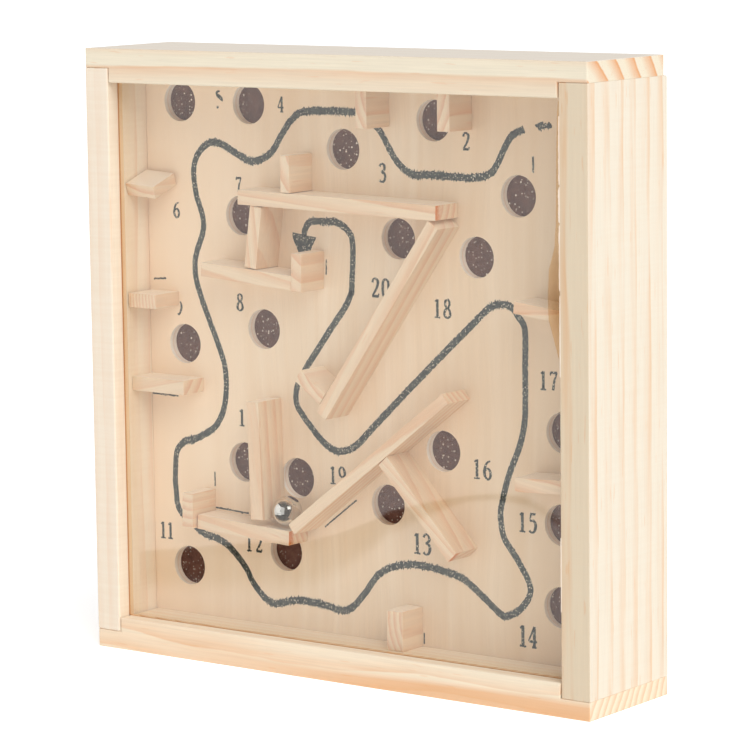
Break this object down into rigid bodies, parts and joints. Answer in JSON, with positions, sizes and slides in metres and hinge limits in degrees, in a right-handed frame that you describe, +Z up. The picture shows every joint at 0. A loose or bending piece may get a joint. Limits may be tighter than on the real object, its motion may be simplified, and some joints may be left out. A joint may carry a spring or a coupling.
{
  "type": "tilt maze game",
  "caption": "Hand-held tilt maze: a square pine case with a clear front, a drilled play board with glued fences and a loose steel ball.",
  "frame": {"origin": "middle of the footprint, on the bottom face of the case", "axes": "+Z up through the standing case, +X to the player's right, +Y from the clear front to the back"},
  "size_m": [0.12, 0.027, 0.122],
  "materials": {
    "pine_frame": "bare sanded pine with fine grain",
    "pine_fence": "bare sawn pine",
    "plywood": "bare thin plywood with a printed route and numbers",
    "dark_board": "dark brown board with small glints",
    "clear_pane": "clear and polished",
    "steel": "polished"
  },
  "bodies": {
    "case": {"frame_top": "pine_frame", "frame_bottom": "pine_frame", "frame_left": "pine_frame", "frame_right": "pine_frame", "cover_pane": "clear_pane", "play_board": "plywood", "backing_board": "dark_board", "fence_left_upper": "pine_fence", "fence_top_middle": "pine_fence", "fence_top_right": "pine_fence", "fence_left_middle": "pine_fence", "fence_left_lower": "pine_fence", "fence_long_bar": "pine_fence", "fence_bar_post": "pine_fence", "fence_link_post": "pine_fence", "fence_short_bar": "pine_fence", "fence_short_bar_post": "pine_fence", "fence_upper_diagonal": "pine_fence", "fence_diagonal_stub": "pine_fence", "fence_pocket_wall": "pine_fence", "fence_pocket_floor": "pine_fence", "fence_pocket_post": "pine_fence", "fence_lower_diagonal": "pine_fence", "fence_lower_branch": "pine_fence", "fence_bottom_post": "pine_fence", "fence_right_upper": "pine_fence", "fence_right_lower": "pine_fence"},
    "ball": {"steel_ball": "steel"}
  },
  "joints": [
    {"name": "ball_roll", "type": "slide", "parent": "case", "child": "ball", "axis": [0.7912, 0, 0.6115], "range_m": [0, 0.068]}
  ]
}
